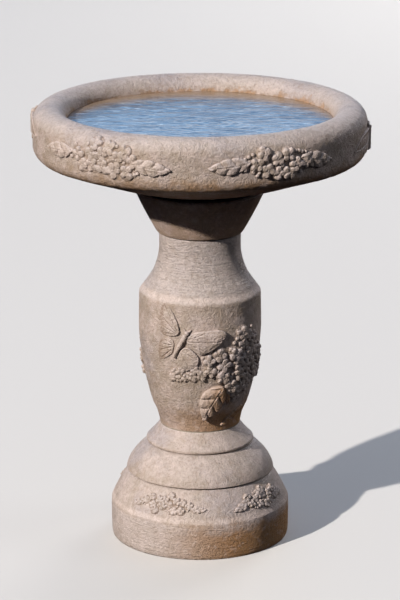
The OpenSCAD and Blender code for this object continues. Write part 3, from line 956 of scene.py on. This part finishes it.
# The column's motifs in millimetres on one sheet, whose origin is at the height COLUMN_MIDDLE.
COLUMN_REACH = 0.095
COLUMN_MIDDLE = 0.300
BUTTERFLY = {
    "upper_left": [
        (-31, 61), (-36, 77), (-44, 91), (-53, 101), (-61, 102),
        (-66, 90), (-68, 70), (-66, 50), (-48, 49), (-33, 53),
    ],
    "lower_left": [(-39, 47), (-66, 45), (-70, 30), (-72, 6), (-62, 9), (-50, 17), (-43, 23)],
    "upper_right": [
        (-21, 49), (-12, 58), (3, 61), (24, 62), (36, 61), (42, 54),
        (32, 40), (17, 29), (2, 22), (-8, 28), (-20, 38),
    ],
    "lower_right": [(-24, 38), (-6, 26), (0, 14), (-5, 3), (-16, -3), (-24, -6), (-34, 3), (-38, 16)],
    "body": [(-40, 19), (-20, 57)],
    "feelers": [(-24, 63), (-14, 62)],
}
CLUSTER_TOP = [
    (-50, -2), (-34, -1), (-20, -1), (-8, 4), (2, 22), (16, 30), (44, 32), (58, 46),
    (62, 62), (72, 69), (82, 64), (104, 56), (116, 34), (130, 7), (150, 2),
]
CLUSTER_FOOT = [
    (-50, -22), (-38, -25), (-22, -21), (-8, -25), (14, -22), (28, -28),
    (40, -38), (50, -60), (72, -66), (90, -50), (118, -42), (150, -40),
]


def cluster_size(x):
    """Radius of the column's blossoms in millimetres: largest in the thick of the cluster."""
    return float(np.interp(x, (-35, 12, 50, 80, 120), (6.2, 9.4, 12.6, 10.0, 8.0)))


def column_butterfly():
    sheet = Sheet(-76, 48, -12, 106, 0.65)
    sheet.wing(BUTTERFLY["lower_left"], (-36, 36), 2.0, 9, 0.0, 1.8, (3.4, 0))
    sheet.wing(BUTTERFLY["upper_left"], (-31, 54), 2.6, 9, 0.0, 1.4, (4.6, 0))
    sheet.wing(BUTTERFLY["lower_right"], (-34, 32), 4.2, 6, 0.4, 0.9, (2.4, -0.8))
    sheet.wing(BUTTERFLY["upper_right"], (-26, 44), 6.2, 8, 0.5, 1.0, (2.8, -1.6))
    tail, head = BUTTERFLY["body"]
    sheet.stroke(tail, head, 3.6, 6.0)
    sheet.stroke((-31, 36), (-23, 51), 4.6, 6.8)
    sheet.petal(*head, 3.8, 2.5, 4.0)
    for tip in BUTTERFLY["feelers"]:
        sheet.stroke(head, tip, 1.3, 3.0)
    return sheet


def column_blossoms():
    sheet = Sheet(-54, 154, -70, 74, 0.65)
    bloom(sheet, 43, cluster_size, within(CLUSTER_TOP, CLUSTER_FOOT), 1.6)
    return sheet


def column_leaves():
    sheet = Sheet(-6, 96, -110, -22, 0.65)
    sheet.leaf((96, -78), (46, -108), 17, 4.4, 4, bend=3)
    sheet.leaf((44, -38), (54, -68), 12, 4.6, 3, bend=2)
    shape = {"notch": 0.05, "widest": 0.44, "bend": -2, "lift": 0.8, "quilt": 0.5}
    sheet.leaf((38, -33), (6, -92), 44, 8.0, 3.6, **shape)
    return sheet


def column_relief():
    motifs = (
        ("butterfly", column_butterfly, relief_stone),
        ("blossoms", column_blossoms, relief_stone),
        ("leaves", column_leaves, leaf_stone),
    )
    for kind, draw, material in motifs:
        for side, turn in (("front", 0), ("back", 180)):
            place = (column_wall, turn, COLUMN_MIDDLE, COLUMN_REACH)
            name, node = f"column_relief_{kind}_{side}", f"column_{kind}_{side}"
            show(draw(), name, "pedestal", node, place, 50, material)


def rim_butterflies():
    upper = [
        (3, 3), (22, 3), (46, 3), (67, -1), (83, -8),
        (99, -19), (80, -20), (60, -21), (36, -20), (8, -14),
    ]
    lower = [(4, -15), (22, -21), (44, -23), (54, -28), (42, -33), (20, -33), (6, -26)]
    for side, at, rise in (("right", 85, 0), ("left", 265, 15)):
        sheet = Sheet(-106, 106, -40, 14, 0.8)
        for way in (-1, 1):
            sheet.wing([(way * x, y) for x, y in lower], (0, -12), 1.2, 6, 0.8, 0.9, (-1.2 * way, 0))
            sheet.wing([(way * x, y) for x, y in upper], (0, -4), 1.5, 6, 1.5, 0.9, (-1.6 * way, 0))
            sheet.stroke((0, 2), (7 * way, 9), 1.4, 3.0)
        sheet.stroke((0, -30), (0, 0), 4.4, 5.6)
        sheet.petal(0, 2, 4.2, 2.0, 4.2)
        place = (bowl_wall, at, RIM_Z + rise * MM, BOWL_R)
        name, node = "rim_relief_butterfly_" + side, "rim_butterfly_" + side
        show(sheet, name, "basin", node, place, 61)


rim_relief()
rim_butterflies()
column_relief()
plinth_relief()


# ---------------------------------------------------------------- water and fittings

WATER_CENTRE = Vector((0.02, -0.03))


def water_wave(x, y):
    """Height in metres of the rings that spread from WATER_CENTRE, and of the chop over them."""
    away = math.hypot(x - WATER_CENTRE.x, (y - WATER_CENTRE.y) * 1.15)
    rings = math.sin(away / 0.0022) * math.exp(-away / 0.09)
    chop = grain(Vector((x * 0.45, y, 0)), 15, 70) + 0.5 * grain(Vector((x * 0.5, y, 0)), 6, 71)
    return (0.22 * rings + 0.42 * chop) * MM


def water():
    """Fills the dish: it follows the inner wall up from the axis and closes over the top."""
    rings, columns = 130, 420
    inner = []
    for p in bowl_points[::-1]:
        if p[1] > WATER_Z:
            break
        inner.append(p)
    side = inner[::12] + [inner[-1]]
    rim = inner[-1][0]
    top = [(rim * k / rings, WATER_Z) for k in range(rings, -1, -1)]
    piece = turned("water", side + top, False, columns)
    for vertex in piece.data.vertices:
        if vertex.co.z > WATER_Z - 1e-6:
            fade = 1 - smoothstep(rim - 0.006, rim, math.hypot(vertex.co.x, vertex.co.y))
            vertex.co.z += fade * water_wave(vertex.co.x, vertex.co.y)
    dress(piece, rippled_water())
    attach(piece, "basin")


water()

steel, rubber, mortar = zinc_steel(), black_rubber(), bedding_mortar()
for node in ("tie_rod", "upper_nut", "upper_washer", "lower_nut", "lower_washer"):
    dress(frame["nodes"][node], steel)
for node in ("upper_bedding_ring", "lower_bedding_ring"):
    dress(frame["nodes"][node], mortar)
dress(frame["nodes"]["seat_pad"], rubber)
dress(frame["nodes"]["bowl_socket"], steel)


# ---------------------------------------------------------------- floor, light and camera

STAGE_R = 9.5


def floor():
    paint = Paint("pale_floor")
    paint.shader.inputs["Base Color"].default_value = (0.62, 0.60, 0.58, 1)
    paint.shader.inputs["Roughness"].default_value = 0.9
    piece = turned("floor", [(0.0, 0.0), (STAGE_R, 0.0)], False, 96)
    dress(piece, paint.owner)
    piece.visible_diffuse = False
    piece.visible_glossy = False


def backdrop():
    """A pale wall round the floor, which only the camera sees."""
    paint = Paint("pale_backdrop")
    paint.shader.inputs["Base Color"].default_value = (0, 0, 0, 1)
    paint.shader.inputs["Emission Color"].default_value = (0.60, 0.60, 0.61, 1)
    paint.shader.inputs["Emission Strength"].default_value = 1.0
    piece = turned("backdrop", [(STAGE_R, 0.0), (STAGE_R, STAGE_R)], False, 96)
    dress(piece, paint.owner)
    piece.visible_diffuse = False
    piece.visible_glossy = False
    piece.visible_shadow = False


def light(name, azimuth, elevation, distance, size, power, colour, mirrored=True):
    """An area light that faces the middle of the object. Azimuth 0 is the front, 90 its right.
    Water and gloss mirror it if mirrored is true."""
    middle = Vector((0, 0, BOWL_HIGH / 2))
    turn, up = math.radians(azimuth), math.radians(elevation)
    way = Vector((math.sin(turn) * math.cos(up), -math.cos(turn) * math.cos(up), math.sin(up)))
    lamp = bpy.data.lights.new(name, "AREA")
    lamp.shape = "DISK"
    lamp.size = size
    lamp.energy = power
    lamp.color = colour
    holder = bpy.data.objects.new(name, lamp)
    holder.location = middle + way * distance
    holder.rotation_euler = way.to_track_quat("Z", "Y").to_euler()
    holder.visible_glossy = mirrored
    bpy.context.collection.objects.link(holder)


def sky():
    """A soft bluish dome over dark ground, with a broad bright patch low behind the object."""
    paint = Paint("sky", bpy.data.worlds)
    way = paint.tree.nodes.new("ShaderNodeTexCoord").outputs["Generated"]
    height = paint.axis(way, "Z")
    dome = paint.mix(paint.fit(height, 0.12, 0.42), (0.012, 0.010, 0.013, 1), (0.17, 0.20, 0.26, 1))
    glow = paint.mix(paint.fit(height, 0.2, 0.45), (0.60, 0.92, 1.38, 1), (0.22, 0.50, 1.0, 1))
    glow = paint.mix(paint.fit(height, 0.09, 0.19), (1.25, 1.3, 1.4, 1), glow)
    up = math.radians(19)
    toward = paint.vector("DOT_PRODUCT", way, (0, math.cos(up), math.sin(up))).outputs["Value"]
    patch = paint.fit(toward, math.cos(math.radians(36)), math.cos(math.radians(16)))
    paint.put(paint.mix(patch, dome, glow), paint.shader.inputs["Color"])
    bpy.context.scene.world = paint.owner


def camera():
    """The photograph's view: from about 4.7 m, looking down at 16.12 degrees."""
    lens = bpy.data.cameras.new("camera")
    lens.lens = 173.5
    lens.sensor_width = 36
    holder = bpy.data.objects.new("camera", lens)
    holder.location = (0, -4.3726, 1.647)
    holder.rotation_euler = (math.radians(90 - 16.12), 0, 0)
    bpy.context.collection.objects.link(holder)
    bpy.context.scene.camera = holder


floor()
backdrop()
light("key", -45, 30, 20.0, 0.5, 6800, (1.0, 0.955, 0.90))
light("fill", 90, 30, 8.0, 4.0, 80, (0.98, 0.98, 1.0))
light("back", 150, 14, 8.0, 4.0, 360, (1.0, 0.98, 0.96), mirrored=False)
sky()
camera()
bpy.context.scene.view_settings.view_transform = "Standard"
